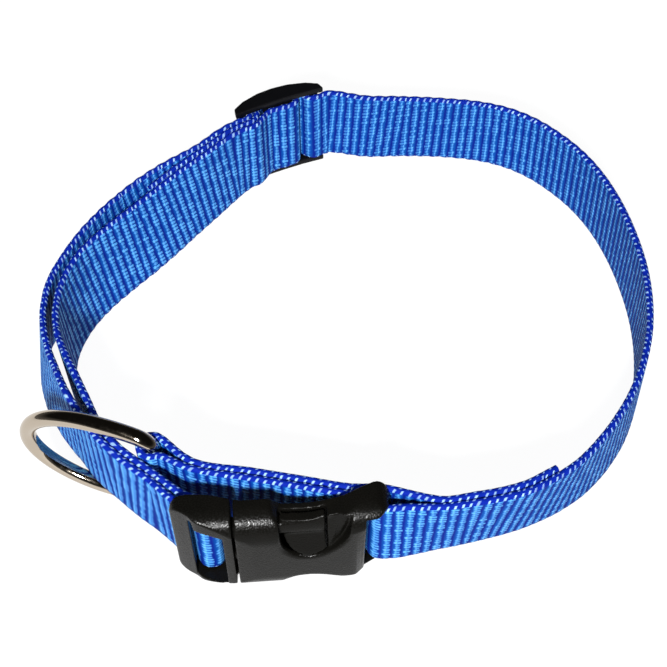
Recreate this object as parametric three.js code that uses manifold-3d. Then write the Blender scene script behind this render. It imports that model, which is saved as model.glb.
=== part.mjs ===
// Adjustable webbing dog collar with a side-release buckle, fastened, standing on its lower edge.
// Millimetres. X runs across the loop, Y away from the buckle, Z up.
// The origin is on the floor at the middle of the whole collar's footprint.
import * as THREE from 'three';
import { mergeVertices } from 'three/addons/utils/BufferGeometryUtils.js';
import Module from 'manifold-3d';

const wasm = await Module();
wasm.setup();

// Driving dimensions: the loop and its webbing
const loopWidth = 132;
const loopDepth = 117;
const webWidth = 20;
const webThickness = 1.2;
const layerGap = 0.3;
const sewnTail = 4;
const ribbonStep = 2.2;
const finestStep = 0.01;

// Driving dimensions: the side-release buckle
const plugReach = 19.4;
const socketReach = 21.3;
const buckleThickness = 7;
const buckleTurnDegrees = 4.2;
const railHeight = 1.7;
const sideClearance = 0.6;
const sideRoundDepth = 5;
const sideRoundHeight = 6;
const backChamfer = 0.8;
const socketCorner = 3.5;
const plugCorner = 2.5;
const seamFromCentre = 7.9;
const seamGap = 0.5;
const plugEndBar = 3.5;
const plugWebBar = 2.2;
const plugBarThickness = 2;
const plugBarDepth = 3.4;
const plugSlot = 1.9;
const plugRimDepth = 1.8;
const plugRimHeight = 2.7;
const socketEndBar = 2.7;
const socketBarThickness = 2.6;
const socketBarDepth = 3.1;
const socketSlot = 2.3;
const cavityDepth = 4;
const cavityWall = 2.7;
const prongClearance = 0.4;
const openingStart = 0.3;
const openingLength = 13.6;
const upperLip = 1.2;
const lowerLip = 6.8;
const lipRound = 1;
const padLength = 8.2;
const padRecess = 1.8;
const padBelowSaddle = 0.4;
const scoopDepth = 2.2;
const saddleDrop = 2.3;
const prongWidth = 2.6;
const guideWidth = 2.6;
const guideReach = 5.7;

// Driving dimensions: the three-bar slider
const sliderLength = 22.4;
const sliderRailDepth = 4.5;
const sliderRail = 1.5;
const sliderClearance = 0.3;
const sliderBar = 1.8;
const sliderSideBar = 3.2;
const sliderSlotPlay = 0.9;
const sliderBarDepth = 1;
const sliderTurnDegrees = 24.8;

// Driving dimensions: the D-ring
const ringWire = 3;
const ringInside = 20.8;
const ringReach = 27.2;
const ringArm = 11;
const ringCorner = 2.4;
const ringTurnDegrees = 162.7;

// Sizes that follow from the driving dimensions
const pitch = webThickness + layerGap;
const halfWeb = webThickness / 2;
const buckleHeight = webWidth + 2 * (sideClearance + railHeight);
const buckleLift = railHeight + sideClearance;
const sliderLift = sliderRail + sliderClearance;
const sliderHeight = webWidth + 2 * sliderLift;
const ringLift = ringWire + (ringInside - webWidth) / 2;
const windowHalf = webWidth / 2 + sideClearance;

// Where each piece of hardware stands on the loop
const buckleFrame = frameAt(-0.174, -0.961, buckleTurnDegrees);
const sliderFrame = frameAt(-0.211, 0.92, sliderTurnDegrees);
const ringFrame = frameAt(-0.535, -0.704, ringTurnDegrees);

// The running strap from the socket round the right side and the back to the slider.
// across and away are shares of the loop's half width and half depth, lift a share of the ring's lift,
// and lean is the outward tilt of the upper edge in degrees.
const rightRows = [
  { across: 0.294, away: -0.9, lean: 5, lift: 0.65 },
  { across: 0.379, away: -0.882, lean: 6, lift: 0.65 },
  { across: 0.455, away: -0.861, lean: 7, lift: 0.6 },
  { across: 0.53, away: -0.832, lean: 7, lift: 0.5 },
  { across: 0.618, away: -0.78, lean: 5, lift: 0.35 },
  { across: 0.688, away: -0.726, lean: 3, lift: 0.2 },
  { across: 0.756, away: -0.657, lean: 0, lift: 0.1 },
  { across: 0.827, away: -0.563, lean: -2, lift: 0 },
  { across: 0.891, away: -0.453, lean: -3, lift: 0 },
  { across: 0.94, away: -0.33, lean: -3, lift: 0 },
  { across: 0.977, away: -0.192, lean: -3, lift: 0 },
  { across: 0.997, away: -0.04, lean: -3, lift: 0 },
  { across: 0.999, away: 0.12, lean: -3, lift: 0 },
  { across: 0.981, away: 0.298, lean: -3, lift: 0 },
  { across: 0.951, away: 0.449, lean: -3, lift: 0 },
  { across: 0.909, away: 0.582, lean: -3, lift: 0 },
  { across: 0.856, away: 0.693, lean: -3, lift: 0 },
  { across: 0.79, away: 0.789, lean: -3, lift: 0 },
  { across: 0.715, away: 0.871, lean: -3, lift: 0 },
  { across: 0.628, away: 0.933, lean: -3, lift: 0 },
  { across: 0.523, away: 0.973, lean: -3, lift: 0 },
  { across: 0.392, away: 0.991, lean: -3, lift: 0.05 },
  { across: 0.242, away: 0.993, lean: -2, lift: 0.15 },
  { across: 0.106, away: 0.982, lean: -1, lift: 0.35 },
];

// The inner layer of the left side, from the slider forward to the ring.
const innerRows = [
  { across: -0.373, away: 0.738, lean: 3, lift: 0.55 },
  { across: -0.45, away: 0.646, lean: 6, lift: 0.4 },
  { across: -0.527, away: 0.556, lean: 9, lift: 0.25 },
  { across: -0.6, away: 0.463, lean: 11, lift: 0.1 },
  { across: -0.669, away: 0.376, lean: 12, lift: 0 },
  { across: -0.743, away: 0.28, lean: 12, lift: 0 },
  { across: -0.818, away: 0.168, lean: 11, lift: 0 },
  { across: -0.867, away: 0.045, lean: 7, lift: 0 },
  { across: -0.885, away: -0.08, lean: 3, lift: 0.05 },
  { across: -0.872, away: -0.2, lean: 1, lift: 0.2 },
  { across: -0.834, away: -0.31, lean: 0, lift: 0.45 },
  { across: -0.788, away: -0.417, lean: -1, lift: 0.7 },
  { across: -0.74, away: -0.525, lean: -1, lift: 0.9 },
  { across: -0.694, away: -0.62, lean: 0, lift: 1 },
];

// The outer layer of the left side, from where it leaves the slider's stack forward to the ring.
const outerRows = [
  { across: -0.593, away: 0.586, lean: 9, lift: 0.2 },
  { across: -0.657, away: 0.518, lean: 11, lift: 0.1 },
  { across: -0.717, away: 0.446, lean: 11, lift: 0 },
  { across: -0.777, away: 0.362, lean: 9, lift: 0 },
  { across: -0.836, away: 0.265, lean: 6, lift: 0 },
  { across: -0.892, away: 0.154, lean: 1, lift: 0 },
  { across: -0.936, away: 0.05, lean: -5, lift: 0 },
  { across: -0.955, away: -0.055, lean: -9, lift: 0 },
  { across: -0.948, away: -0.165, lean: -10, lift: 0.05 },
  { across: -0.915, away: -0.285, lean: -10, lift: 0.2 },
  { across: -0.864, away: -0.4, lean: -8, lift: 0.5 },
  { across: -0.797, away: -0.525, lean: -4, lift: 0.95 },
  { across: -0.722, away: -0.64, lean: -2, lift: 1 },
];

// The stretch where both left layers lie together, between the ring and the plug.
const pairedRows = [
  { across: -0.656, away: -0.714, lean: 0, lift: 1 },
  { across: -0.595, away: -0.77, lean: 0, lift: 0.85 },
  { across: -0.533, away: -0.82, lean: 0, lift: 0.66 },
];

// Half of the buckle's plan outline beyond the flat middle of its faces, one table for each end.
// along is a share of the half length, depth a share of the thickness, positive towards the neck.
const socketNose = [
  { along: 0.64, depth: -0.49 },
  { along: 0.79, depth: -0.41 },
  { along: 0.905, depth: -0.2 },
  { along: 0.985, depth: 0.16 },
  { along: 1, depth: 0.52 },
  { along: 0.97, depth: 0.7 },
  { along: 0.89, depth: 0.76 },
  { along: 0.76, depth: 0.62 },
  { along: 0.62, depth: 0.47 },
];
const plugNose = [
  { along: -0.38, depth: 0.46 },
  { along: -0.5, depth: 0.56 },
  { along: -0.64, depth: 0.66 },
  { along: -0.81, depth: 0.7 },
  { along: -0.93, depth: 0.66 },
  { along: -0.99, depth: 0.55 },
  { along: -1, depth: 0.42 },
  { along: -0.95, depth: 0.3 },
  { along: -0.83, depth: 0.08 },
  { along: -0.74, depth: -0.13 },
  { along: -0.505, depth: -0.38 },
  { along: -0.38, depth: -0.47 },
];
const frontFlat = { from: -0.24, to: 0.4, depth: -0.53 };
const backFlat = { from: -0.29, to: 0.48, depth: 0.43 };

// The finger opening in each side of the socket: shares of the opening's length and height.
const lipRows = [
  { along: 0.005, up: 0.68 },
  { along: 0.07, up: 0.22 },
  { along: 0.29, up: 0 },
  { along: 0.59, up: 0.04 },
  { along: 0.9, up: 0.35 },
  { along: 0.99, up: 0.77 },
];

// The dip in the socket's upper and lower edges: shares of the socket's reach and of the drop.
const saddleRows = [
  { along: -0.042, drop: 0.08 },
  { along: 0, drop: 0.46 },
  { along: 0.042, drop: 0.8 },
  { along: 0.09, drop: 0.93 },
  { along: 0.165, drop: 0.98 },
  { along: 0.27, drop: 1 },
  { along: 0.35, drop: 0.88 },
  { along: 0.437, drop: 0.66 },
  { along: 0.587, drop: 0.33 },
  { along: 0.67, drop: 0.1 },
];
const saddleEnds = { from: -0.08, to: 0.75 };

// The slider's bowed rail: shares of its half length and of its depth.
const sliderRailRows = [
  { along: -1, depth: -0.2 },
  { along: -0.5, depth: -0.1 },
  { along: 0, depth: -0.07 },
  { along: 0.5, depth: -0.1 },
  { along: 1, depth: -0.2 },
  { along: 0.96, depth: 0.25 },
  { along: 0.72, depth: 0.6 },
  { along: 0.35, depth: 0.86 },
  { along: 0, depth: 0.93 },
  { along: -0.35, depth: 0.86 },
  { along: -0.72, depth: 0.6 },
  { along: -0.96, depth: 0.25 },
];

const webbing = new THREE.MeshStandardMaterial({ color: 0x1c46b4, roughness: 0.7, metalness: 0 });
const acetal = new THREE.MeshStandardMaterial({ color: 0x1a1a19, roughness: 0.55, metalness: 0 });
const nickel = new THREE.MeshStandardMaterial({ color: 0xb8b4a8, roughness: 0.2, metalness: 1 });

// A place on the loop, given in shares of its half width and half depth, with a turn in degrees.
function frameAt(across, away, turn) {
  return {
    x: (across * loopWidth) / 2,
    y: (away * loopDepth) / 2,
    turn: THREE.MathUtils.degToRad(turn),
  };
}

// A point given in a frame, as a station of the ribbon.
function stationIn(frame, x, y, lift, lean = 0) {
  const point = new THREE.Vector2(x, y).rotateAround(new THREE.Vector2(0, 0), frame.turn);
  return { x: frame.x + point.x, y: frame.y + point.y, lift, lean };
}

// Stations from a table of rows in shares of the loop.
function stationsFrom(rows) {
  return rows.map((row) => ({
    x: (row.across * loopWidth) / 2,
    y: (row.away * loopDepth) / 2,
    lift: row.lift * ringLift,
    lean: row.lean,
  }));
}

// The same stations moved sideways, to the left of the direction they run in.
function beside(stations, distance) {
  return stations.map((station, i) => {
    const before = stations[Math.max(i - 1, 0)];
    const after = stations[Math.min(i + 1, stations.length - 1)];
    const along = new THREE.Vector2(after.x - before.x, after.y - before.y).normalize();
    return { ...station, x: station.x - along.y * distance, y: station.y + along.x * distance };
  });
}

// Points on an arc round a centre in a frame, from one angle to another in degrees.
function arcIn(frame, x, y, radius, from, to, lift, pieces = 3) {
  return Array.from({ length: pieces + 1 }, (_, i) => {
    const angle = THREE.MathUtils.degToRad(from + ((to - from) * i) / pieces);
    return stationIn(frame, x + radius * Math.cos(angle), y + radius * Math.sin(angle), lift);
  });
}

// A flat ribbon standing on its edge, swept through stations.
function ribbon(stations) {
  const line = new THREE.CatmullRomCurve3(
    stations.map((station) => new THREE.Vector3(station.x, station.y, 0)),
    false,
    'centripetal',
  );
  const samples = [];
  for (let i = 0; i < stations.length - 1; i += 1) {
    const from = stations[i];
    const to = stations[i + 1];
    const steps = Math.max(1, Math.ceil(Math.hypot(to.x - from.x, to.y - from.y) / ribbonStep));
    for (let step = 0; step < steps; step += 1) {
      samples.push({ index: i, share: step / steps });
    }
  }
  samples.push({ index: stations.length - 2, share: 1 });
  const positions = [];
  samples.forEach(({ index, share }) => {
    const place = (index + share) / (stations.length - 1);
    const middle = line.getPoint(place);
    const along = line.getTangent(place);
    const from = stations[index];
    const to = stations[index + 1];
    const lean = THREE.MathUtils.degToRad(THREE.MathUtils.lerp(from.lean, to.lean, share));
    const lift = THREE.MathUtils.lerp(from.lift, to.lift, share);
    const outward = new THREE.Vector3(along.y, -along.x, 0);
    if (outward.dot(middle) < 0) {
      outward.negate();
    }
    const up = outward.clone().multiplyScalar(Math.sin(lean)).setZ(Math.cos(lean));
    const across = new THREE.Vector3().crossVectors(along, up).normalize();
    middle.z = lift + (webWidth / 2) * Math.cos(lean) + halfWeb * Math.abs(Math.sin(lean));
    [[-1, -1], [1, -1], [1, 1], [-1, 1]].forEach(([side, height]) => {
      const corner = middle.clone();
      corner.addScaledVector(across, side * halfWeb);
      corner.addScaledVector(up, (height * webWidth) / 2);
      positions.push(corner.x, corner.y, corner.z);
    });
  });
  const faces = [];
  for (let ring = 0; ring < samples.length - 1; ring += 1) {
    for (let side = 0; side < 4; side += 1) {
      const a = ring * 4 + side;
      const b = ring * 4 + ((side + 1) % 4);
      faces.push(a, b + 4, b, a, a + 4, b + 4);
    }
  }
  const last = (samples.length - 1) * 4;
  faces.push(0, 1, 2, 0, 2, 3, last, last + 2, last + 1, last, last + 3, last + 2);
  const geometry = new THREE.BufferGeometry();
  geometry.setAttribute('position', new THREE.Float32BufferAttribute(positions, 3));
  geometry.setIndex(faces);
  geometry.computeVertexNormals();
  return geometry;
}

// A closed mesh as a solid that can be joined and cut.
function solid(geometry) {
  const bare = geometry.clone();
  bare.deleteAttribute('normal');
  bare.deleteAttribute('uv');
  const merged = mergeVertices(bare);
  return new wasm.Manifold(
    new wasm.Mesh({
      numProp: 3,
      vertProperties: new Float32Array(merged.attributes.position.array),
      triVerts: new Uint32Array(merged.index.array),
    }),
  );
}

// A solid back as a mesh geometry.
function geometryOf(body) {
  const mesh = body.simplify(finestStep).getMesh();
  const geometry = new THREE.BufferGeometry();
  geometry.setAttribute('position', new THREE.BufferAttribute(mesh.vertProperties, 3));
  geometry.setIndex(new THREE.BufferAttribute(mesh.triVerts, 1));
  geometry.computeVertexNormals();
  return geometry;
}

// A box between two corners.
function block(x0, x1, y0, y1, z0, z1) {
  const geometry = new THREE.BoxGeometry(x1 - x0, y1 - y0, z1 - z0);
  return solid(geometry.translate((x0 + x1) / 2, (y0 + y1) / 2, (z0 + z1) / 2));
}

// An outline extruded upwards between two heights.
function standing(outline, z0, z1, curveSegments = 10) {
  const geometry = new THREE.ExtrudeGeometry(outline, { depth: z1 - z0, bevelEnabled: false, curveSegments });
  return solid(geometry.translate(0, 0, z0));
}

// An upright bar with round sides, between two places along and at a depth.
function uprightBar(x0, x1, depth, thickness, height) {
  const radius = Math.min(thickness, x1 - x0) / 2;
  const outline = new THREE.Shape();
  outline.absarc(x0 + radius, depth - thickness / 2 + radius, radius, Math.PI, Math.PI * 1.5);
  outline.absarc(x1 - radius, depth - thickness / 2 + radius, radius, Math.PI * 1.5, 0);
  outline.absarc(x1 - radius, depth + thickness / 2 - radius, radius, 0, Math.PI / 2);
  outline.absarc(x0 + radius, depth + thickness / 2 - radius, radius, Math.PI / 2, Math.PI);
  return standing(outline, -height / 2, height / 2, 4);
}

// An outline seen from the front, extruded in depth.
function facing(outline, y0, y1) {
  const depth = y1 - y0;
  const geometry = new THREE.ExtrudeGeometry(outline, { depth, bevelEnabled: false, curveSegments: 3 });
  const turned = new THREE.Matrix4().makeBasis(
    new THREE.Vector3(1, 0, 0),
    new THREE.Vector3(0, 0, 1),
    new THREE.Vector3(0, -1, 0),
  );
  return solid(geometry.applyMatrix4(turned).translate(0, y1, 0));
}

// The buckle's outline seen from the front, with rounded corners and its two dips.
function buckleFace(inset) {
  const top = buckleHeight / 2 - inset;
  const left = plugCorner - plugReach;
  const right = socketReach - socketCorner;
  const from = saddleEnds.from * socketReach;
  const to = saddleEnds.to * socketReach;
  const dip = saddleRows.map((row) => ({ x: row.along * socketReach, z: top - row.drop * saddleDrop }));
  const low = dip.map((spot) => new THREE.Vector2(spot.x, -spot.z));
  const high = dip.map((spot) => new THREE.Vector2(spot.x, spot.z)).reverse();
  const outline = new THREE.Shape();
  outline.absarc(left, plugCorner - top, plugCorner, Math.PI, Math.PI * 1.5);
  outline.lineTo(from, -top);
  outline.splineThru([...low, new THREE.Vector2(to, -top)]);
  outline.absarc(right, socketCorner - top, socketCorner, Math.PI * 1.5, 0);
  outline.absarc(right, top - socketCorner, socketCorner, 0, Math.PI / 2);
  outline.lineTo(to, top);
  outline.splineThru([...high, new THREE.Vector2(from, top)]);
  outline.absarc(left, top - plugCorner, plugCorner, Math.PI / 2, Math.PI);
  return facing(outline, -plugReach, socketReach);
}

// The buckle's whole outer form: its plan, side and front outlines met together.
function buckleForm(frontInset, topInset) {
  const end = (along) => along * (along < 0 ? plugReach : socketReach);
  const place = (row) => new THREE.Vector2(end(row.along), row.depth * buckleThickness);
  const frontFrom = place({ along: frontFlat.from, depth: frontFlat.depth });
  const frontTo = place({ along: frontFlat.to, depth: frontFlat.depth });
  const backFrom = place({ along: backFlat.from, depth: backFlat.depth });
  const backTo = place({ along: backFlat.to, depth: backFlat.depth });
  const plan = new THREE.Shape();
  plan.moveTo(frontFrom.x, frontFrom.y);
  plan.lineTo(frontTo.x, frontTo.y);
  plan.splineThru([...socketNose.map(place), backTo]);
  plan.lineTo(backFrom.x, backFrom.y);
  plan.splineThru([...plugNose.map(place), frontFrom]);
  const top = buckleHeight / 2 - topInset;
  const front = frontFlat.depth * buckleThickness + frontInset;
  const roundY = front + sideRoundDepth;
  const roundZ = top - sideRoundHeight;
  const back = buckleThickness;
  const side = new THREE.Shape();
  side.moveTo(back, -top + backChamfer);
  side.lineTo(back, top - backChamfer);
  side.lineTo(back - backChamfer, top);
  side.absellipse(roundY, roundZ, sideRoundDepth, sideRoundHeight, Math.PI / 2, Math.PI, false, 0);
  side.absellipse(roundY, -roundZ, sideRoundDepth, sideRoundHeight, Math.PI, Math.PI * 1.5, false, 0);
  side.lineTo(back - backChamfer, -top);
  const depth = 2 * (plugReach + socketReach);
  const lengthwise = new THREE.ExtrudeGeometry(side, { depth, bevelEnabled: false, curveSegments: 7 });
  lengthwise.translate(0, 0, -depth / 2);
  const turned = new THREE.Matrix4().makeBasis(
    new THREE.Vector3(0, 1, 0),
    new THREE.Vector3(0, 0, 1),
    new THREE.Vector3(1, 0, 0),
  );
  lengthwise.applyMatrix4(turned);
  return standing(plan, -top, top, 5).intersect(solid(lengthwise)).intersect(buckleFace(topInset));
}

// A finger opening down to its lip, seen from the front, pulled in all round by an inset.
function fingerOpening(lip, inset, y0, y1) {
  const x0 = openingStart + inset;
  const x1 = openingStart + openingLength - inset;
  const low = lip + inset;
  const top = buckleHeight / 2 + railHeight;
  const place = (row) => new THREE.Vector2(x0 + row.along * (x1 - x0), low + row.up * (top - low));
  const outline = new THREE.Shape();
  outline.moveTo(x0, top);
  outline.splineThru(lipRows.map(place));
  outline.lineTo(x1, top);
  return facing(outline, y0, y1);
}

// Places along the buckle that its two halves and the webbing share
const seam = -seamFromCentre;
const plugWindowLeft = plugEndBar - plugReach;
const plugWebBarLeft = plugWindowLeft + plugSlot;
const plugWebBarRight = plugWebBarLeft + plugWebBar;
const plugWindowRight = plugWebBarRight + plugSlot;
const plugBackDepth = plugBarDepth + plugBarThickness / 2;
const socketBarRight = socketReach;
const socketBarLeft = socketBarRight - socketEndBar;
const socketWallRight = socketBarLeft - socketSlot;
const frontFace = frontFlat.depth * buckleThickness;
const backFace = backFlat.depth * buckleThickness;
const cavityFront = (frontFace + backFace - cavityDepth) / 2;
const cavityBack = cavityFront + cavityDepth;
const cavityHalf = buckleHeight / 2 - cavityWall;

// The plug: a frame with a window and a webbing bar, a guide and two prongs with press pads.
function plug() {
  const far = plugReach + socketReach;
  let body = buckleForm(0, 0).intersect(block(-far, seam - seamGap / 2, -far, far, -far, far));
  const rimBack = frontFace + plugRimDepth;
  const rimLow = windowHalf - plugRimHeight;
  body = body.subtract(block(plugWindowLeft, plugWindowRight, -far, far, -windowHalf, rimLow));
  body = body.subtract(block(plugWindowLeft, plugWindowRight, rimBack, far, 0, windowHalf));
  body = body.subtract(block(-far, plugWebBarLeft, plugBarDepth, far, -windowHalf, windowHalf));
  body = body.add(
    uprightBar(plugWebBarLeft, plugWebBarRight, plugBarDepth, plugBarThickness, 2 * windowHalf + railHeight),
  );
  const front = cavityFront + prongClearance;
  const back = cavityBack - prongClearance;
  const root = seam - seamGap;
  body = body.add(block(root, openingStart + guideReach, front, back, -guideWidth / 2, guideWidth / 2));
  const padForm = buckleForm(padRecess, padBelowSaddle);
  const padEnd = openingStart + prongClearance + padLength;
  const armOut = cavityHalf - prongClearance;
  const prong = (lip) => {
    const pad = fingerOpening(lip, prongClearance, -buckleThickness, back);
    const padHalf = pad.intersect(block(0, padEnd, -far, far, 0, far));
    const arm = block(root, openingStart + padLength / 2, front, back, armOut - prongWidth, armOut);
    return padForm.intersect(padHalf.add(arm));
  };
  return geometryOf(body.add(prong(upperLip)).add(prong(lowerLip).mirror([0, 0, 1])));
}

// The socket: a hollow shell open towards the plug and at both finger openings, with a webbing bar.
function socket() {
  const far = plugReach + socketReach;
  let body = buckleForm(0, 0).intersect(block(seam + seamGap / 2, far, -far, far, -far, far));
  const cavityEnd = openingStart + 2 * prongClearance + padLength;
  body = body.subtract(block(-far, cavityEnd, cavityFront, cavityBack, -cavityHalf, cavityHalf));
  // The opening's edge is rounded in steps, each a little wider nearer the front
  const sideCut = (lip) => {
    const padRoom = block(0, cavityEnd, -far, far, 0, far);
    const opening = fingerOpening(lip, 0, -buckleThickness, cavityBack).intersect(padRoom);
    const scoop = fingerOpening(lip, 0, -buckleThickness, frontFace + scoopDepth);
    const steps = [22.5, 45, 67.5].map((degrees) => {
      const angle = THREE.MathUtils.degToRad(degrees);
      const wider = lipRound * (1 - Math.cos(angle));
      return fingerOpening(lip, -wider, -buckleThickness, frontFace + lipRound * (1 - Math.sin(angle)));
    });
    return steps.reduce((whole, step) => whole.add(step), opening.add(scoop));
  };
  body = body.subtract(sideCut(upperLip)).subtract(sideCut(lowerLip).mirror([0, 0, 1]));
  body = body.subtract(block(socketWallRight, far, -far, far, -windowHalf, windowHalf));
  body = body.subtract(block(0, far, backFace, far, -windowHalf, windowHalf));
  const bar = uprightBar(
    socketBarLeft,
    socketBarRight,
    socketBarDepth,
    socketBarThickness,
    2 * windowHalf + railHeight,
  );
  return geometryOf(body.add(bar.intersect(buckleFace(0))));
}

// Places along the slider that its bars and the webbing share
const sliderSlot = 2 * pitch + layerGap + sliderSlotPlay;
const sliderMiddleBar = sliderLength - 2 * sliderSideBar - 2 * sliderSlot;
const sliderMiddleEnd = sliderMiddleBar / 2;
const sliderSideEnd = sliderMiddleEnd + sliderSlot;

// The slider: two bowed rails joined by three upright bars.
function slider() {
  const outline = new THREE.Shape();
  sliderRailRows.forEach((row, i) => {
    const x = (row.along * sliderLength) / 2;
    const y = row.depth * sliderRailDepth;
    if (i === 0) {
      outline.moveTo(x, y);
    } else {
      outline.lineTo(x, y);
    }
  });
  const sliderHalf = webWidth / 2 + sliderClearance;
  const far = sliderLength;
  let body = standing(outline, -sliderHeight / 2, sliderHeight / 2);
  body = body.subtract(block(-far, far, -far, far, -sliderHalf, sliderHalf));
  const barHeight = 2 * sliderHalf + sliderRail;
  const end = sliderLength / 2 - sliderRail / 2;
  body = body.add(uprightBar(-end, -sliderSideEnd, sliderBarDepth, sliderBar, barHeight));
  body = body.add(uprightBar(-sliderMiddleEnd, sliderMiddleEnd, sliderBarDepth, sliderBar, barHeight));
  body = body.add(uprightBar(sliderSideEnd, end, sliderBarDepth, sliderBar, barHeight));
  return geometryOf(body);
}

// The D-ring: one bent wire, its straight bar upright at the frame's origin.
function dRing() {
  const half = (ringInside + ringWire) / 2;
  const outline = new THREE.Path();
  outline.moveTo(0, -half + ringCorner);
  outline.absarc(ringCorner, -half + ringCorner, ringCorner, Math.PI, Math.PI * 1.5);
  outline.lineTo(ringArm, -half);
  outline.absellipse(ringArm, 0, ringReach - ringArm, half, -Math.PI / 2, Math.PI / 2, false, 0);
  outline.absarc(ringCorner, half - ringCorner, ringCorner, Math.PI / 2, Math.PI);
  outline.closePath();
  const spots = outline.getSpacedPoints(96).slice(0, -1);
  const wire = new THREE.CatmullRomCurve3(
    spots.map((spot) => new THREE.Vector3(spot.x, 0, spot.y)),
    true,
  );
  return new THREE.TubeGeometry(wire, 96, ringWire / 2, 12, true);
}

// The whole route of the webbing, from its tail beside the socket to the end sewn at the slider.
function strapRoute() {
  const right = stationsFrom(rightRows);
  const inner = stationsFrom(innerRows);
  const outer = stationsFrom(outerRows);
  const paired = stationsFrom(pairedRows);

  // Socket: the bar's left side is round, so the webbing turns round it
  const socketLine = socketBarDepth - socketBarThickness / 2 - layerGap - halfWeb;
  const socketTurn = socketBarThickness / 2 + layerGap + halfWeb;
  const socketTurnX = socketBarLeft + socketBarThickness / 2;
  const socketBehind = backFace + layerGap + halfWeb;
  const inBuckle = (x, y) => stationIn(buckleFrame, x, y, buckleLift);

  // Fold round the ring's upright bar
  const foldRadius = ringWire / 2 + layerGap + halfWeb;
  const folded = { ...ringFrame, turn: ringFrame.turn + Math.PI };
  const foldEnd = stationIn(folded, foldRadius * 3.6, -foldRadius * 0.35, ringLift);

  // The inner strand of the ring's loop runs from the socket to the fold
  const strandStart = inBuckle(socketWallRight - socketSlot, socketBehind + pitch * 1.3);
  const strandShares = [0, 0.3, 0.62, 1];
  const strand = strandShares.map((share) => ({
    x: THREE.MathUtils.lerp(strandStart.x, foldEnd.x, share),
    y: THREE.MathUtils.lerp(strandStart.y, foldEnd.y, share),
    lift: THREE.MathUtils.lerp(strandStart.lift, foldEnd.lift, share),
    lean: 0,
  }));
  const tail = beside(right.slice(0, 5), pitch).reverse();
  const socketBarBack = socketBarDepth + socketBarThickness / 2;
  const behindBar = inBuckle(socketBarRight - socketEndBar / 2, socketBarBack + layerGap + halfWeb);
  const fold = arcIn(folded, 0, 0, foldRadius, 60, 320, ringLift, 8);
  const outerStrand = beside([...strand].reverse(), -pitch);
  const throughSocket = [
    inBuckle(socketWallRight - socketSlot * 0.3, socketBehind + layerGap),
    inBuckle(socketWallRight + socketSlot * 0.38, socketBehind - layerGap),
    ...arcIn(buckleFrame, socketTurnX, socketBarDepth, socketTurn, 190, 270, buckleLift),
    inBuckle(socketBarRight + socketSlot, socketLine),
  ];

  // Slider: the running strap goes inside its right bar, outside its middle bar, inside its left bar
  const turn = sliderBar / 2 + layerGap + halfWeb;
  const middleTurnX = sliderMiddleEnd - sliderBar / 2;
  const sideTurnX = sliderSideEnd + sliderBar / 2;
  const slope = THREE.MathUtils.radToDeg(Math.acos((2 * turn + pitch) / (sideTurnX - middleTurnX)));
  const inSlider = (x, layer) => stationIn(sliderFrame, x, sliderBarDepth - turn - layer * pitch, sliderLift);
  const round = (x, layer, from, to) =>
    arcIn(sliderFrame, x, sliderBarDepth, turn + layer * pitch, from, to, sliderLift);
  const sideMiddle = (sliderSideEnd + sliderLength / 2) / 2;
  const running = [
    inSlider(sliderLength / 2 + sliderRail, 0),
    inSlider(sideMiddle, 0),
    ...round(sideTurnX, 0, 270, 180 + slope),
    ...round(middleTurnX, 1, slope, 90),
    ...round(-middleTurnX, 1, 90, 180 - slope),
    ...round(-sideTurnX, 0, -slope, -90),
    inSlider(-sideMiddle, 0),
  ];
  const leavesStack = beside(inner.slice(0, 2), -2 * pitch);

  // Plug: the outer layer comes up through the first slot, over the bar and down the second
  const plugTurn = plugBarThickness / 2 + layerGap + halfWeb;
  const plugBarLeftX = plugWebBarLeft + plugBarThickness / 2;
  const plugBarRightX = plugWebBarRight - plugBarThickness / 2;
  const aroundPlug = (x, radius, from, to, pieces) =>
    arcIn(buckleFrame, x, plugBarDepth, radius, from, to, buckleLift, pieces);
  const throughPlug = [
    inBuckle(plugWindowLeft - plugSlot, plugBarDepth + pitch),
    ...aroundPlug(plugWindowLeft, layerGap + halfWeb, 100, 40, 2),
    ...aroundPlug(plugBarLeftX, plugTurn, 190, 270, 2),
    ...aroundPlug(plugBarRightX, plugTurn, -90, 90, 6),
    inBuckle(plugWebBarLeft - plugSlot * 0.32, plugBackDepth + pitch * 0.85),
    inBuckle(plugWindowLeft - plugSlot * 0.35, plugBarDepth + pitch * 2),
  ];
  const pairedInner = beside(paired, pitch).reverse();

  // The inner layer goes back to the slider, round its middle bar, and ends sewn to itself
  const back = [...inner].reverse();
  const wrap = [
    inSlider(-sideMiddle, 2),
    ...round(-sideTurnX, 2, -90, -45),
    inSlider(-middleTurnX, 0),
    inSlider(0, 0),
    ...arcIn(sliderFrame, middleTurnX, sliderBarDepth, turn, -90, 90, sliderLift, 6),
    ...round(-middleTurnX, 0, 90, 180 - slope),
    ...round(-sideTurnX, 1, -slope, -90),
    inSlider(-sideMiddle, 1),
  ];
  const sewn = beside(inner.slice(0, sewnTail), -pitch);
  return [
    ...tail,
    behindBar,
    ...strand,
    ...fold,
    ...outerStrand,
    ...throughSocket,
    ...right,
    ...running,
    ...leavesStack,
    ...outer,
    ...paired,
    ...throughPlug,
    ...pairedInner,
    ...back,
    ...wrap,
    ...sewn,
  ];
}

function named(name, geometry, material) {
  const mesh = new THREE.Mesh(geometry, material);
  mesh.name = name;
  return mesh;
}

// A group that stands on the floor in a frame and holds pieces modelled about their own middle height.
function standingGroup(frame, height, ...pieces) {
  const group = new THREE.Group();
  group.position.set(frame.x, frame.y, height);
  group.rotation.z = frame.turn;
  group.add(...pieces);
  return group;
}

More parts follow.
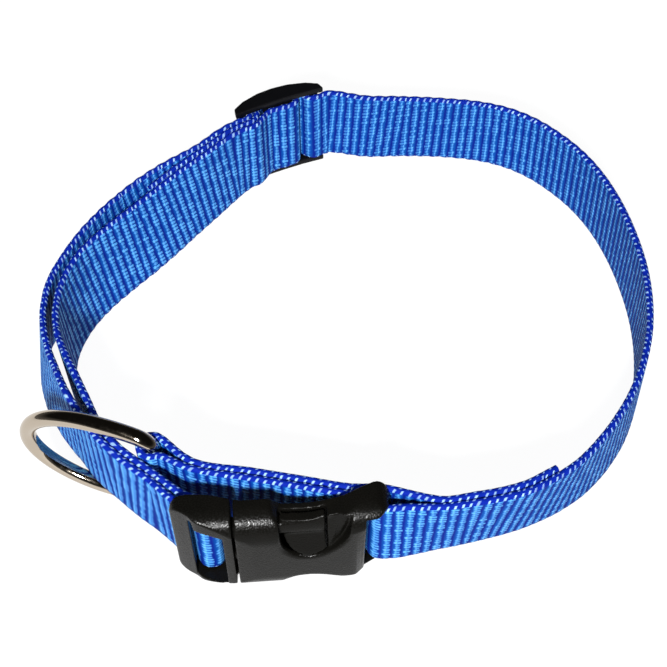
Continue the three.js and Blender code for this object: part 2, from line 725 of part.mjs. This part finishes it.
const collar = new THREE.Group();
collar.add(named('strap', ribbon(strapRoute()), webbing));
collar.add(
  standingGroup(
    buckleFrame,
    buckleHeight / 2,
    named('buckle_plug', plug(), acetal),
    named('buckle_socket', socket(), acetal.clone()),
  ),
);
collar.add(standingGroup(sliderFrame, sliderHeight / 2, named('slider', slider(), acetal.clone())));
collar.add(standingGroup(ringFrame, (ringInside + 2 * ringWire) / 2, named('d_ring', dRing(), nickel)));

// The whole collar moves so that its footprint is centred on the origin
const middle = new THREE.Box3().setFromObject(collar, true).getCenter(new THREE.Vector3());
collar.children.forEach((child) => {
  child.position.x -= middle.x;
  child.position.y -= middle.y;
});

export default collar;
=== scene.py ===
import math

import bpy
import numpy as np
from mathutils import Matrix, Vector


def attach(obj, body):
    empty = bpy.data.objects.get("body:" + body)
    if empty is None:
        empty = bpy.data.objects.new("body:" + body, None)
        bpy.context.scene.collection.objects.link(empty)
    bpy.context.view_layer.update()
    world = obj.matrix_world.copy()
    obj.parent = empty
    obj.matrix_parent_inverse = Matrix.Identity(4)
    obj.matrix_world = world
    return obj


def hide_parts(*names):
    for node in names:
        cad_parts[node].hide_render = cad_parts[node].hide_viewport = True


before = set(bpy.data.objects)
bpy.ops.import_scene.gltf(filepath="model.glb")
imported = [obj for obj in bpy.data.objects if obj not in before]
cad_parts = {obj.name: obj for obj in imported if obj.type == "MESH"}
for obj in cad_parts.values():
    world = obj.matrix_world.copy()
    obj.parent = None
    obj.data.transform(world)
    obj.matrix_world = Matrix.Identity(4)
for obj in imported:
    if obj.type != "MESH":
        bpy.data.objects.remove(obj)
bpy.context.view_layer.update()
bpy.ops.object.select_all(action="DESELECT")

# Strap: one length of 20 mm nylon webbing, woven with thick cross ribs and a firm edge on both
# sides, threaded through the buckle, the ring and the slider and sewn to itself at its end.
# It is woven here as a flat strip and laid along the sections of the solid strap.
WEB_HALF = 0.01
WEB_THICKNESS = 0.00142  # over the ribs
EDGE_ROUND = 0.0005
RIB_PITCH = 0.00202
RIB_RELIEF = 0.0001
RIB_SINK = 0.7  # half reliefs, towards the middle of the thickness
RIB_FADE = 0.0012  # from the edge to where the relief is full
RIBS_IN_KNOB = 1.5
KNOB_RELIEF = 0.00022
KNOB_RISE = 0.2  # half reliefs, out past the width
STEPS_IN_RIB = 6
ROWS_ACROSS = 13
SAME_POINT = 2e-6
SAME_STRIP_POINT = 1e-7
SMOOTH_ANGLE = math.radians(60)


def merged_copy(node, name):
    """A CAD node's own closed mesh as a new piece, with its loose triangles joined."""
    piece = bpy.data.objects.new(name, node.data.copy())
    bpy.context.scene.collection.objects.link(piece)
    piece.data.materials.clear()
    bpy.ops.object.select_all(action="DESELECT")
    piece.select_set(True)
    bpy.context.view_layer.objects.active = piece
    bpy.ops.object.mode_set(mode="EDIT")
    bpy.ops.mesh.select_all(action="SELECT")
    bpy.ops.mesh.remove_doubles(threshold=SAME_POINT)
    bpy.ops.object.mode_set(mode="OBJECT")
    return piece


def strap_sections(mesh):
    """The four corners of each section of the solid strap, in order from one end to the other."""
    places = np.array([vertex.co[:] for vertex in mesh.vertices])
    near = [set() for _ in mesh.vertices]
    for edge in mesh.edges:
        a, b = edge.vertices
        near[a].add(b)
        near[b].add(a)
    # A corner of an end section has the fewest neighbours
    at_ends = [i for i, others in enumerate(near) if len(others) <= 5]
    start = max(at_ends, key=lambda i: places[i][0])
    # The end section is the start and what lies within a webbing's width of it
    ring = [i for i in at_ends if np.linalg.norm(places[i] - places[start]) < 2.2 * WEB_HALF]
    middle = places[ring].mean(axis=0)
    low = [i for i in ring if places[i][2] < middle[2]]
    high = [i for i in ring if places[i][2] >= middle[2]]
    across = [np.linalg.norm(places[low[1]] - places[i]) for i in high]
    if across[0] > across[1]:
        high.reverse()
    ring = low + high
    rings = [ring]
    seen = set(ring)
    while True:
        options = []
        for step in (-1, 1):
            shared = [(near[ring[i]] & near[ring[(i + step) % 4]]) - seen for i in range(4)]
            if all(len(found) == 1 for found in shared):
                ahead = [found.pop() for found in shared]
                reach = sum(np.linalg.norm(places[a] - places[b]) for a, b in zip(ring, ahead))
                options.append((reach, ahead))
        if not options:
            return places[np.array(rings)]
        ring = min(options)[1]
        rings.append(ring)
        seen.update(ring)


def smooth_between(at, known_at, known):
    """Values on a smooth curve through known ones, at places along it."""
    slopes = np.gradient(known, known_at, axis=0)
    i = np.clip(np.searchsorted(known_at, at) - 1, 0, len(known_at) - 2)
    span = (known_at[i + 1] - known_at[i])[:, None]
    t = ((at - known_at[i])[:, None]) / span
    return (
        known[i] * (2 * t**3 - 3 * t**2 + 1)
        + slopes[i] * span * (t**3 - 2 * t**2 + t)
        + known[i + 1] * (3 * t**2 - 2 * t**3)
        + slopes[i + 1] * span * (t**3 - t**2)
    )


guide = merged_copy(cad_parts["strap"], "guide")
sections = strap_sections(guide.data)
bpy.data.objects.remove(guide)
middles = sections.mean(axis=1)
known_at = np.concatenate([[0], np.cumsum(np.linalg.norm(np.diff(middles, axis=0), axis=1))])
uprights = sections[:, 2:].mean(axis=1) - sections[:, :2].mean(axis=1)
ribs = round(known_at[-1] / RIB_PITCH)

# The strip's outline: up the outer face, over the rounded top edge and down the inner face, as
# shares of its half thickness and heights from its middle
rows = np.linspace(EDGE_ROUND - WEB_HALF, WEB_HALF - EDGE_ROUND, ROWS_ACROSS)
shoulder = WEB_HALF - EDGE_ROUND * 0.36
half_round = [(1, height) for height in rows] + [(0.66, shoulder), (0, WEB_HALF), (-0.66, shoulder)]
outline = np.array(half_round + [(-side, -height) for side, height in half_round])
around = len(outline)
bpy.ops.mesh.primitive_grid_add(x_subdivisions=ribs * STEPS_IN_RIB, y_subdivisions=around, size=1)
strap = bpy.context.active_object
strap.name = "strap_webbing"
strap.data.uv_layers.remove(strap.data.uv_layers[0])
flat = np.array([vertex.co[:] for vertex in strap.data.vertices])
turn = (flat[:, 0] + 0.5) * ribs
along = (flat[:, 0] + 0.5) * known_at[-1]
side, height = outline[np.rint((flat[:, 1] + 0.5) * around).astype(int) % around].T
centre = smooth_between(along, known_at, middles)
small_step = 1e-5
ahead = smooth_between(along + small_step, known_at, middles)
ahead -= smooth_between(along - small_step, known_at, middles)
ahead /= np.linalg.norm(ahead, axis=1)[:, None]
upright = smooth_between(along, known_at, uprights)
outwards = np.cross(ahead, upright)
outwards /= np.linalg.norm(outwards, axis=1)[:, None]
upright = np.cross(outwards, ahead)
crest = np.cos(turn * 2 * np.pi)
inside_edge = np.clip((WEB_HALF - np.abs(height)) / RIB_FADE, 0, 1)
reach = WEB_THICKNESS / 2 + RIB_RELIEF * (crest - RIB_SINK) / 2 * inside_edge
on_edge = np.abs(height) > WEB_HALF - EDGE_ROUND
knob = np.cos(turn / RIBS_IN_KNOB * 2 * np.pi)
rim = np.where(on_edge, KNOB_RELIEF * (KNOB_RISE - knob) / 2 * np.sign(height), 0)
placed = centre + outwards * (side * reach)[:, None] + upright * (height + rim)[:, None]
strap.data.vertices.foreach_set("co", placed.astype(np.float32).ravel())
for name, values in (("along", turn), ("across", height * 1000), ("side", side)):
    layer = strap.data.attributes.new(name, "FLOAT", "POINT")
    layer.data.foreach_set("value", values.astype(np.float32))
bpy.ops.object.mode_set(mode="EDIT")
bpy.ops.mesh.select_all(action="SELECT")
bpy.ops.mesh.remove_doubles(threshold=SAME_STRIP_POINT)
bpy.ops.mesh.select_all(action="DESELECT")
bpy.ops.mesh.select_non_manifold()
bpy.ops.mesh.fill_holes(sides=around)
bpy.ops.mesh.select_all(action="SELECT")
bpy.ops.mesh.normals_make_consistent(inside=False)
bpy.ops.object.mode_set(mode="OBJECT")
bpy.ops.object.shade_smooth_by_angle(angle=SMOOTH_ANGLE)


def linear(colour):
    """An sRGB hex colour as linear red, green, blue and alpha."""
    linear_parts = []
    for i in (1, 3, 5):
        part = int(colour[i : i + 2], 16) / 255
        linear_parts.append(part / 12.92 if part <= 0.04045 else ((part + 0.055) / 1.055) ** 2.4)
    return linear_parts + [1]


def add(tree, kind, inputs, output=0, **settings):
    """Adds a node with its settings, gives its inputs values or links, and returns an output."""
    node = tree.nodes.new(kind)
    for name, value in settings.items():
        setattr(node, name, value)
    named = inputs if isinstance(inputs, dict) else dict(enumerate(inputs))
    for name, value in named.items():
        if isinstance(value, bpy.types.NodeSocket):
            tree.links.new(value, node.inputs[name])
        else:
            node.inputs[name].default_value = value
    return node.outputs[output]


def new_material(name):
    """A new material, with its node tree and its surface node."""
    material = bpy.data.materials.new(name)
    material.use_nodes = True
    return material, material.node_tree, material.node_tree.nodes["Principled BSDF"]


# Dyed nylon 6 webbing: each cross rib is covered by short shiny floats of the lengthwise yarns,
# which catch the light as a column of small strokes between dark, matt grooves. The strokes are
# painted highlights in the colour, and the grooves' darker colour is painted shade. On the edge
# the cross yarn turns back in firm dark knobs, with light slanted stitches between them, whose
# pale colour is a painted highlight.
YARN_PITCH = 0.00098
YARN_SLANT = 0.55  # in yarns, over one rib
YARN_STAGGER = 0.37  # in yarns, from one rib to the next
WANDER = 0.16  # in ribs, like all widths and lengths of strokes
TOOTH_SHIFT = 0.1
EDGE_STARTS, EDGE_FULL = 9.2, 9.5  # in mm from the webbing's middle line
STITCH_PITCH = 0.5 * RIBS_IN_KNOB
STITCH_LEAN = 0.3
STITCH_OFFSET = 0.36  # in stitches, between the two borders
MATH, RANGE, MIX = "ShaderNodeMath", "ShaderNodeMapRange", "ShaderNodeMix"
NOISE, WHITE_NOISE = "ShaderNodeTexNoise", "ShaderNodeTexWhiteNoise"
webbing, tree, surface = new_material("woven nylon webbing")
turns = add(tree, "ShaderNodeAttribute", {}, "Fac", attribute_name="along")
tall = add(tree, "ShaderNodeAttribute", {}, "Fac", attribute_name="across")
face_side = add(tree, "ShaderNodeAttribute", {}, "Fac", attribute_name="side")

# Which rib, which yarn in it, and the place inside both
rib = add(tree, MATH, [add(tree, MATH, [turns, 0.5], operation="ADD")], operation="FLOOR")
in_rib = add(tree, MATH, [turns, rib], operation="SUBTRACT")
from_crest = add(tree, MATH, [in_rib], operation="ABSOLUTE")
yarns = add(tree, MATH, [tall, 0.001 / YARN_PITCH], operation="MULTIPLY")
slanted = add(tree, MATH, [in_rib, YARN_SLANT, yarns], operation="MULTIPLY_ADD")
staggered = add(tree, MATH, [rib, YARN_STAGGER, slanted], operation="MULTIPLY_ADD")
yarn = add(tree, MATH, [staggered], operation="FLOOR")
in_yarn = add(tree, MATH, [staggered], operation="FRACT")
off_middle = add(tree, MATH, [in_yarn, 0.5], operation="SUBTRACT")
off_yarn = add(tree, MATH, [off_middle], operation="ABSOLUTE")
on_yarn = add(tree, RANGE, [off_yarn, 0.44, 0.16], interpolation_type="SMOOTHSTEP")
cell = add(tree, "ShaderNodeCombineXYZ", [rib, yarn])
chance = add(tree, WHITE_NOISE, {"Vector": cell}, "Value", noise_dimensions="2D")

# A painted highlight: a bright line along each crest, broken up by the yarns
luck_off = add(tree, MATH, [chance, 0.5], operation="SUBTRACT")
shifted = add(tree, MATH, [luck_off, WANDER, in_rib], operation="MULTIPLY_ADD")
off_crest = add(tree, MATH, [shifted], operation="ABSOLUTE")
# Painted light by face: the crest's painted highlight is drawn a little wider on the outer face
# than on the inner face
crest_ends = add(tree, RANGE, [face_side, -0.5, 0.5, 0.14, 0.17], interpolation_type="SMOOTHSTEP")
crest_painted_highlight = add(tree, RANGE, [off_crest, crest_ends, 0.04], interpolation_type="SMOOTHSTEP")
by_yarn = add(tree, MATH, [on_yarn, 0.5, 0.5], operation="MULTIPLY_ADD")
core = add(tree, MATH, [crest_painted_highlight, by_yarn], operation="MULTIPLY")

# Teeth of different lengths that reach from the crest into the groove, also painted highlight,
# drawn fainter on the inner face as painted shade
tooth_length = add(tree, MATH, [chance, 0.2, 0.18], operation="MULTIPLY_ADD")
tooth_place = add(tree, MATH, [in_rib, TOOTH_SHIFT], operation="SUBTRACT")
off_tooth = add(tree, MATH, [tooth_place], operation="ABSOLUTE")
past_tooth = add(tree, MATH, [off_tooth, tooth_length], operation="SUBTRACT")
in_tooth = add(tree, RANGE, [past_tooth, 0.08, -0.08], interpolation_type="SMOOTHSTEP")
tooth = add(tree, MATH, [in_tooth, on_yarn], operation="MULTIPLY")
painted_face_light = add(tree, RANGE, [face_side, -0.5, 0.5, 0.35, 0.7], interpolation_type="SMOOTHSTEP")
teeth = add(tree, MATH, [tooth, painted_face_light], operation="MULTIPLY")
floats = add(tree, MATH, [core, teeth], operation="MAXIMUM")
shine = add(tree, RANGE, [chance, 0.0, 1.0, 0.6, 1.0], interpolation_type="SMOOTHSTEP")
stroke = add(tree, MATH, [floats, shine], operation="MULTIPLY")

# The edge's stitches, one row near each border, each with its own place, length and brightness;
# their pale colour is a painted highlight
near_side = add(tree, MATH, [face_side, 0.0], operation="GREATER_THAN")
stitches = add(tree, MATH, [turns, STITCH_PITCH], operation="DIVIDE")
offset = add(tree, MATH, [near_side, STITCH_OFFSET, stitches], operation="MULTIPLY_ADD")
leaning = add(tree, MATH, [face_side, STITCH_LEAN, offset], operation="MULTIPLY_ADD")
stitch_number = add(tree, MATH, [leaning], operation="FLOOR")
stitch_cell = add(tree, "ShaderNodeCombineXYZ", [stitch_number, near_side])
luck = add(tree, WHITE_NOISE, {"Vector": stitch_cell}, "Value", noise_dimensions="2D")
stitch_middle = add(tree, MATH, [luck, 0.4, 0.3], operation="MULTIPLY_ADD")
in_stitch = add(tree, MATH, [leaning], operation="FRACT")
from_middle = add(tree, MATH, [in_stitch, stitch_middle], operation="SUBTRACT")
off_stitch = add(tree, MATH, [from_middle], operation="ABSOLUTE")
stitch_line = add(tree, RANGE, [off_stitch, 0.21, 0.07], interpolation_type="SMOOTHSTEP")
from_centre = add(tree, MATH, [face_side], operation="ABSOLUTE")
stitch_start = add(tree, MATH, [luck, 0.3, 0.1], operation="MULTIPLY_ADD")
past_start = add(tree, MATH, [from_centre, stitch_start], operation="SUBTRACT")
in_length = add(tree, RANGE, [past_start, 0.0, 0.12], interpolation_type="SMOOTHSTEP")
stitch_shape = add(tree, MATH, [stitch_line, in_length], operation="MULTIPLY")
lit_stitch = add(tree, MATH, [luck, 0.55, 0.45], operation="MULTIPLY_ADD")
stitch = add(tree, MATH, [stitch_shape, lit_stitch], operation="MULTIPLY")

# Colour, gloss and relief from the strokes and the stitches; in the colour, both are painted
# highlights
on_rib = add(tree, RANGE, [from_crest, 0.5, 0.15], interpolation_type="SMOOTHSTEP")
height_off = add(tree, MATH, [tall], operation="ABSOLUTE")
edge = add(tree, RANGE, [height_off, EDGE_STARTS, EDGE_FULL], interpolation_type="SMOOTHSTEP")
# Painted shade: the grooves between the ribs are coloured darker than the crowns
groove_painted_shade, crown = linear("#00166e"), linear("#003e88")
ground = add(tree, MIX, {"Factor": on_rib, 6: groove_painted_shade, 7: crown}, 2, data_type="RGBA")
ground_with_painted_highlights = add(tree, MIX, {"Factor": stroke, 6: ground, 7: linear("#549cdc")}, 2, data_type="RGBA")
dark_knob, stitch_painted_highlight = linear("#021a7c"), linear("#8cb0d8")
knobs = add(tree, MIX, {"Factor": stitch, 6: dark_knob, 7: stitch_painted_highlight}, 2, data_type="RGBA")
colour = add(tree, MIX, {"Factor": edge, 6: ground_with_painted_highlights, 7: knobs}, 2, data_type="RGBA")
raised = add(tree, MIX, {"Factor": edge, 2: stroke, 3: stitch})
roughness = add(tree, RANGE, [raised, 0.0, 1.0, 0.75, 0.4], interpolation_type="SMOOTHSTEP")
bump = add(tree, "ShaderNodeBump", {"Height": raised, "Strength": 0.7, "Distance": 0.00015})
tree.links.new(colour, surface.inputs["Base Color"])
tree.links.new(roughness, surface.inputs["Roughness"])
tree.links.new(bump, surface.inputs["Normal"])
surface.inputs["IOR"].default_value = 1.53
surface.inputs["Specular IOR Level"].default_value = 0.06
strap.data.materials.clear()
strap.data.materials.append(webbing)
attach(strap, "root")
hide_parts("strap")

# Buckle: a side-release buckle in black acetal. The plug and the socket are injection moulded,
# with a fine spark-eroded grain and softly rounded edges. The plug's two prongs snap behind the
# socket's walls, and its pads show in the socket's open sides.
# Places are from the buckle's middle: x towards the socket, y towards the neck, z up.
BUCKLE_MIDDLE = (-0.01242, -0.056, 0.0123)
BUCKLE_TURN = math.radians(4.2)
PAD_FRONT = 0.0005
PAD_LOW, PAD_TOP = 0.0012, 0.006
PAD_FOOT, PAD_HEIGHT = 0.0016, 0.0043
PAD_SWELL, PAD_LEAN = 0.0015, 0.0022
SHOULDER_FOOT, SHOULDER_HEIGHT = 0.0059, 0.006
SHOULDER_LEAN = 0.0007
WINDOW_ENDS = (-0.0160, -0.0119)
WINDOW_FRONT = -0.0002
WINDOW_CEILING = 0.0106
CEILING_DROP = 0.0027
SCOOP_ENDS = (0.009, 0.0142)
SCOOP_BACK = -0.00151
SCOOP_FOOT, SCOOP_HEIGHT = 0.0012, 0.005
SCOOP_SWELL, SCOOP_LEAN, SCOOP_LIMIT = 0.0017, 0.0024, 0.0009
RAIL_START, RAIL_FRONT, RAIL_TOP = 0.0145, 0.0012, -0.0063
RAIL_SLOPE, RAIL_LIMIT = 0.9, 0.003
SAME_PLANE = 0.00005
SAME_BACK = 0.00003
PLUG_VOXEL, SOCKET_VOXEL = 0.00017, 0.00019
BUCKLE_ROUNDS = 10


def reshape(piece, middle, turn, form):
    """Moves a piece's points by a rule given in the piece's own directions."""
    into = Matrix.Translation(middle) @ Matrix.Rotation(turn, 4, "Z")
    back = into.inverted()
    for vertex in piece.data.vertices:
        vertex.co = into @ Vector(form(*(back @ vertex.co)))


def moulded(piece, node_name, voxel, rounds):
    """Rounds every edge of a part slightly, as a mould does, and puts it in the solid's place."""
    remesh = piece.modifiers.new("skin", "REMESH")
    remesh.mode = "VOXEL"
    remesh.voxel_size = voxel
    bpy.ops.object.modifier_apply(modifier=remesh.name)
    relax = piece.modifiers.new("relax", "SMOOTH")
    relax.factor = 0.5
    relax.iterations = rounds
    bpy.ops.object.modifier_apply(modifier=relax.name)
    bpy.ops.object.shade_smooth()
    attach(piece, "root")
    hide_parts(node_name)


def plug_form(x, y, z):
    """Leans the press pads' faces back and carries the window's upper rim on to the end bar."""
    if x > 0 and y < PAD_FRONT:
        if PAD_LOW < z < PAD_TOP:
            y += -PAD_SWELL + PAD_LEAN * (z - PAD_FOOT) / PAD_HEIGHT
        elif z > 0:
            y += max(0, SHOULDER_LEAN * (1 - (z - SHOULDER_FOOT) / SHOULDER_HEIGHT))
    on_ceiling = abs(z - WINDOW_CEILING) < SAME_PLANE
    if on_ceiling and WINDOW_ENDS[0] < x < WINDOW_ENDS[1] and y < WINDOW_FRONT:
        z -= CEILING_DROP
    return x, y, z


def socket_form(x, y, z):
    """Leans the finger scoop back and lets the lower rail curve back under the webbing."""
    on_back = abs(y - SCOOP_BACK) < SAME_BACK
    if on_back and SCOOP_ENDS[0] < x < SCOOP_ENDS[1] and z > 0:
        y += min(SCOOP_LIMIT, -SCOOP_SWELL + SCOOP_LEAN * (z - SCOOP_FOOT) / SCOOP_HEIGHT)
    if x > RAIL_START and y < RAIL_FRONT and z < RAIL_TOP:
        y += min(RAIL_LIMIT, RAIL_SLOPE * (x - RAIL_START))
    return x, y, z


plug = merged_copy(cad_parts["buckle_plug"], "buckle_plug_moulding")
reshape(plug, BUCKLE_MIDDLE, BUCKLE_TURN, plug_form)
moulded(plug, "buckle_plug", PLUG_VOXEL, BUCKLE_ROUNDS)
socket = merged_copy(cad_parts["buckle_socket"], "buckle_socket_moulding")
reshape(socket, BUCKLE_MIDDLE, BUCKLE_TURN, socket_form)
moulded(socket, "buckle_socket", SOCKET_VOXEL, BUCKLE_ROUNDS)

# Black acetal from a spark-eroded mould: dull black with a sandy grain that breaks highlights up.
# The real grain is finer than 0.1 mm, and is drawn about 0.3 mm wide so that it shows.
GRAINS_PER_METRE = 3200.0
CLOUDS_PER_METRE = 220.0
acetal, tree, surface = new_material("grained black acetal")
place = add(tree, "ShaderNodeTexCoord", {}, "Object")
grain = add(tree, NOISE, {"Vector": place, "Scale": GRAINS_PER_METRE, "Detail": 0.0})
cloud = add(tree, NOISE, {"Vector": place, "Scale": CLOUDS_PER_METRE, "Detail": 2.0})
dark, pale = linear("#070706"), linear("#0c0b09")
tone = add(tree, MIX, {"Factor": cloud, 6: dark, 7: pale}, 2, data_type="RGBA")
roughness = add(tree, RANGE, [grain, 0.3, 0.7, 0.2, 0.34])
bump = add(tree, "ShaderNodeBump", {"Height": grain, "Strength": 0.5, "Distance": 0.00007})
tree.links.new(tone, surface.inputs["Base Color"])
tree.links.new(roughness, surface.inputs["Roughness"])
tree.links.new(bump, surface.inputs["Normal"])
surface.inputs["IOR"].default_value = 1.48
surface.inputs["Specular IOR Level"].default_value = 0.08
for piece in (plug, socket):
    piece.data.materials.append(acetal)

# Slider: a three-bar slider, injection moulded in black acetal in one piece, with its two rails
# bowed outwards. The strap's end is sewn round its middle bar, and the other layer slides past it.
SLIDER_VOXEL = 0.00015
SLIDER_ROUNDS = 22
slider = merged_copy(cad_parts["slider"], "slider_moulding")
moulded(slider, "slider", SLIDER_VOXEL, SLIDER_ROUNDS)

# Black acetal from a plain mould: smooth and almost black, with a soft, faintly uneven sheen.
WEAR_PER_METRE = 500.0
gloss, tree, surface = new_material("smooth black acetal")
place = add(tree, "ShaderNodeTexCoord", {}, "Object")
wear = add(tree, NOISE, {"Vector": place, "Scale": WEAR_PER_METRE, "Detail": 3.0})
roughness = add(tree, RANGE, [wear, 0.3, 0.7, 0.34, 0.5])
tree.links.new(roughness, surface.inputs["Roughness"])
surface.inputs["Base Color"].default_value = linear("#08080a")
surface.inputs["Specular IOR Level"].default_value = 0.12
surface.inputs["IOR"].default_value = 1.48
slider.data.materials.append(gloss)

# Ring: a D-ring bent from 3 mm steel wire, butt-welded and tumbled smooth. A fold of the strap
# holds its straight bar, and its bow stands free for the lead's hook.
# Places are from the straight bar's middle: x towards the bow, z along the bar.
RING_MIDDLE = (-0.03625, -0.04097, 0.0134)
RING_TURN = math.radians(162.7)
WIRE_GAIN = 0.0002
WIDE_ANGLE = math.radians(60)
BOW_STRETCH, HEIGHT_SHARE = 1.01, 0.99
BEND_REACH, BEND_SHARE = 0.009, 0.1
ring = merged_copy(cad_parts["d_ring"], "d_ring_wire")
bpy.ops.object.mode_set(mode="EDIT")
bpy.ops.mesh.select_all(action="SELECT")
bpy.ops.mesh.tris_convert_to_quads(face_threshold=WIDE_ANGLE, shape_threshold=WIDE_ANGLE)
bpy.ops.transform.shrink_fatten(value=WIRE_GAIN)
bpy.ops.object.mode_set(mode="OBJECT")


def ring_form(x, y, z):
    """Draws the bow out a little and bends both arms in towards the straight bar."""
    near_bar = max(0, 1 - max(x, 0) / BEND_REACH)
    return x * BOW_STRETCH, y, z * (HEIGHT_SHARE - BEND_SHARE * near_bar**2)


reshape(ring, RING_MIDDLE, RING_TURN, ring_form)
rounded = ring.modifiers.new("rounded", "SUBSURF")
rounded.levels = 2
rounded.render_levels = 2
bpy.ops.object.modifier_apply(modifier=rounded.name)
bpy.ops.object.shade_smooth()

# Nickel plate on tumbled steel: a warm grey mirror with very fine scuffs that soften it a little.
SCUFFS_PER_METRE = 900.0
nickel, tree, surface = new_material("polished nickel plate")
place = add(tree, "ShaderNodeTexCoord", {}, "Object")
scuff = add(tree, NOISE, {"Vector": place, "Scale": SCUFFS_PER_METRE, "Detail": 4.0})
roughness = add(tree, RANGE, [scuff, 0.35, 0.75, 0.05, 0.14])
tree.links.new(roughness, surface.inputs["Roughness"])
surface.inputs["Base Color"].default_value = linear("#b8ac9c")
surface.inputs["Metallic"].default_value = 1.0
ring.data.materials.append(nickel)
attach(ring, "root")
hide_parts("d_ring")

# Floor, lights and camera: a white card in soft studio light, the main light beside the camera,
# and the camera where the photograph was taken from. The card glows, as on a light table, so
# that shadows on it stay faint.
FLOOR_SIZE = 4
FLOOR_LEVEL = -0.0001
bpy.ops.mesh.primitive_plane_add(size=FLOOR_SIZE, location=(0, 0, FLOOR_LEVEL))
floor = bpy.context.active_object
floor.name = "floor"
card, tree, surface = new_material("white card")
surface.inputs["Base Color"].default_value = linear("#505050")
surface.inputs["Roughness"].default_value = 0.9
surface.inputs["Emission Color"].default_value = linear("#ffffff")
surface.inputs["Emission Strength"].default_value = 0.94
floor.data.materials.append(card)


def soft_light(name, place, aim, size, power, shown_in_gloss):
    """A square soft box that faces a point."""
    bpy.ops.object.light_add(type="AREA", location=place)
    light = bpy.context.active_object
    light.name = name
    light.data.size = size
    light.data.energy = power
    light.visible_glossy = shown_in_gloss
    away = light.location - Vector(aim)
    light.rotation_euler = away.to_track_quat("Z", "Y").to_euler()


front, above = (-0.06, -0.45, 0.38), (0, -0.1, 1.2)
soft_light("main light", front, (0, 0, 0.01), size=0.08, power=7.6, shown_in_gloss=True)
soft_light("overhead", above, (0, 0, 0), size=0.5, power=6, shown_in_gloss=False)

# The room is pale near the horizon and dark overhead, so that black plastic stays black on top
world = bpy.data.worlds.new("studio")
world.use_nodes = True
tree = world.node_tree
direction = add(tree, "ShaderNodeTexCoord", {}, "Generated")
height = add(tree, "ShaderNodeSeparateXYZ", [direction], "Z")
strength = add(tree, RANGE, [height, 0.4, 0.0, 0.01, 0.16], interpolation_type="SMOOTHSTEP")
tree.links.new(strength, tree.nodes["Background"].inputs["Strength"])
tree.nodes["Background"].inputs["Color"].default_value = linear("#f4f2ee")
bpy.context.scene.world = world
bpy.context.scene.view_settings.view_transform = "Standard"

ELEVATION = math.radians(53)
DISTANCE = 0.262
AIM = Vector((-0.00194, -0.00478, 0.01))
towards_camera = Vector((0, -math.cos(ELEVATION), math.sin(ELEVATION)))
bpy.ops.object.camera_add(
    location=AIM + DISTANCE * towards_camera,
    rotation=(math.pi / 2 - ELEVATION, 0, 0),
)
camera = bpy.context.active_object
camera.data.lens = 65.85
camera.data.sensor_width = 36
camera.data.clip_start = 0.01
bpy.context.scene.camera = camera
